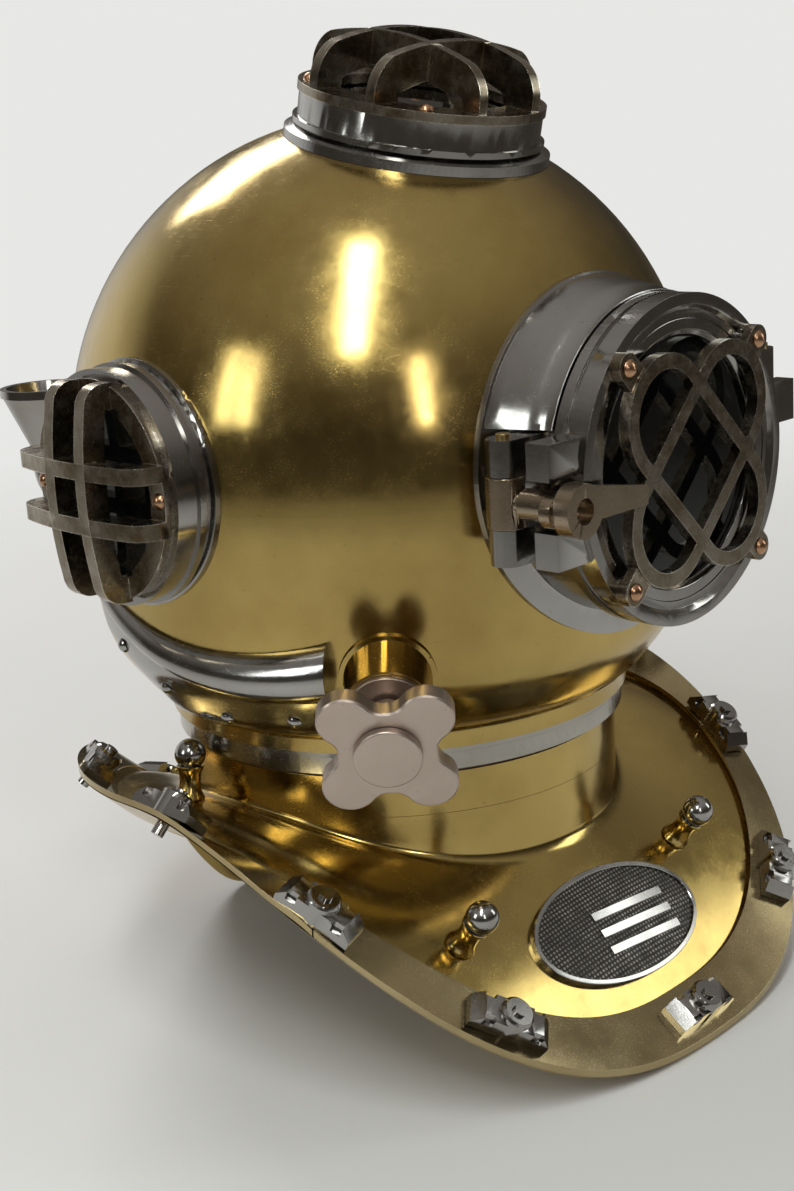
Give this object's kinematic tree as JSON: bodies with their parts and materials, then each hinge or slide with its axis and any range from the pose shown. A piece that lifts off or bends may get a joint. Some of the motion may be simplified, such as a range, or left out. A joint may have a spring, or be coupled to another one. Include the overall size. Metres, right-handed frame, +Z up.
{
  "type": "diving helmet",
  "caption": "Standard dress diving helmet: polished brass bonnet on a winged-nut breastplate, guarded ports, hinged faceplate, exhaust valve with handwheel.",
  "frame": {"origin": "centre of the neck seam plane, on the vertical neck axis", "axes": "+Z up along the neck axis; the faceplate faces -Y; -X is the diver's right, with the exhaust valve"},
  "size_m": [0.3632, 0.3654, 0.4542],
  "materials": {
    "helmet_brass": "polished",
    "fitting_brass": "satin",
    "pale_brass": "satin",
    "bronze": "polished",
    "dull_silver": "satin",
    "nickel": "polished",
    "satin_nickel": "satin",
    "gunmetal": "worn",
    "copper": "polished",
    "plate_metal": "satin",
    "port_glass": "polished",
    "black_rubber": "matte",
    "neck_leather": "matte",
    "spring_steel": "satin"
  },
  "bodies": {
    "corselet": {"breastplate": "helmet_brass", "breastplate_neck_ring": "helmet_brass", "neck_gasket": "neck_leather", "brail_front": "pale_brass", "brail_left": "pale_brass", "brail_rear": "pale_brass", "brail_right": "pale_brass", "brail_studs": "nickel", "wing_nuts": "nickel", "lanyard_knobs": "nickel", "name_plate": "plate_metal", "safety_latch_pin": "fitting_brass"},
    "bonnet_shell": {"bonnet": "helmet_brass", "bonnet_neck_ring": "dull_silver", "front_collar": "nickel", "collar_hood": "nickel", "faceplate_seal": "black_rubber", "hinge_pin": "fitting_brass", "swing_pin": "fitting_brass", "right_port_collar": "nickel", "right_port_gasket": "black_rubber", "right_port_glass": "port_glass", "right_port_guard": "gunmetal", "right_port_screws": "copper", "left_port_collar": "nickel", "left_port_gasket": "black_rubber", "left_port_glass": "port_glass", "left_port_guard": "gunmetal", "left_port_screws": "copper", "top_port_collar": "nickel", "top_port_gasket": "black_rubber", "top_port_glass": "port_glass", "top_port_guard": "gunmetal", "top_port_screws": "copper", "exhaust_valve_body": "helmet_brass", "exhaust_cap": "satin_nickel", "exhaust_channel": "nickel", "channel_rivets": "nickel", "air_gooseneck": "nickel", "telephone_gooseneck": "nickel", "exhaust_spring": "spring_steel"},
    "faceplate": {"door_frame": "nickel", "door_gasket": "black_rubber", "door_glass": "port_glass", "door_retaining_ring": "nickel", "door_guard": "gunmetal", "door_guard_screws": "copper"},
    "latch_bolt": {"swing_bolt": "bronze"},
    "bolt_lever": {"latch_lever": "bronze"},
    "exhaust_wheel": {"exhaust_handwheel": "satin_nickel"},
    "exhaust_nut": {"exhaust_adjuster": "fitting_brass"},
    "exhaust_disc": {"exhaust_stem": "spring_steel", "chin_button": "satin_nickel", "wheel_button": "satin_nickel"},
    "lock_lever": {"safety_latch": "fitting_brass"}
  },
  "joints": [
    {"name": "bonnet_turn", "type": "hinge", "parent": "corselet", "child": "bonnet_shell", "pos_m": [0, 0, 0], "axis": [0, 0, 1], "range_deg": [0, 45]},
    {"name": "faceplate_hinge", "type": "hinge", "parent": "bonnet_shell", "child": "faceplate", "pos_m": [0.084, -0.1585, 0.137], "axis": [0, 0, 1], "range_deg": [0, 110]},
    {"name": "bolt_swing", "type": "hinge", "parent": "bonnet_shell", "child": "latch_bolt", "pos_m": [-0.084, -0.15, 0.133], "axis": [0, 0, -1], "range_deg": [0, 100]},
    {"name": "lever_turn", "type": "hinge", "parent": "latch_bolt", "child": "bolt_lever", "pos_m": [-0.084, -0.18, 0.133], "axis": [0, 1, 0], "range_deg": [0, 90]},
    {"name": "exhaust_wheel_turn", "type": "hinge", "parent": "bonnet_shell", "child": "exhaust_wheel", "pos_m": [-0.10175, -0.09455, 0.0558], "axis": [-0.6967, -0.6474, -0.309], "range_deg": [0, 360]},
    {"name": "exhaust_nut_travel", "type": "slide", "parent": "bonnet_shell", "child": "exhaust_nut", "axis": [0.6967, 0.6474, 0.309], "range_m": [0, 0.004]},
    {"name": "exhaust_lift", "type": "slide", "parent": "bonnet_shell", "child": "exhaust_disc", "axis": [-0.6967, -0.6474, -0.309], "range_m": [0, 0.006], "stiffness_N_per_m": 400, "springref_m": -0.005, "deforming": ["exhaust_spring"]},
    {"name": "lock_lever_turn", "type": "hinge", "parent": "corselet", "child": "lock_lever", "pos_m": [0, 0.1175, -0.012], "axis": [1, 0, 0], "range_deg": [0, 180]}
  ],
  "couplings": [
    {"joint": "exhaust_nut_travel", "follows": "exhaust_wheel_turn", "m_per_rad": 0.000636}
  ]
}
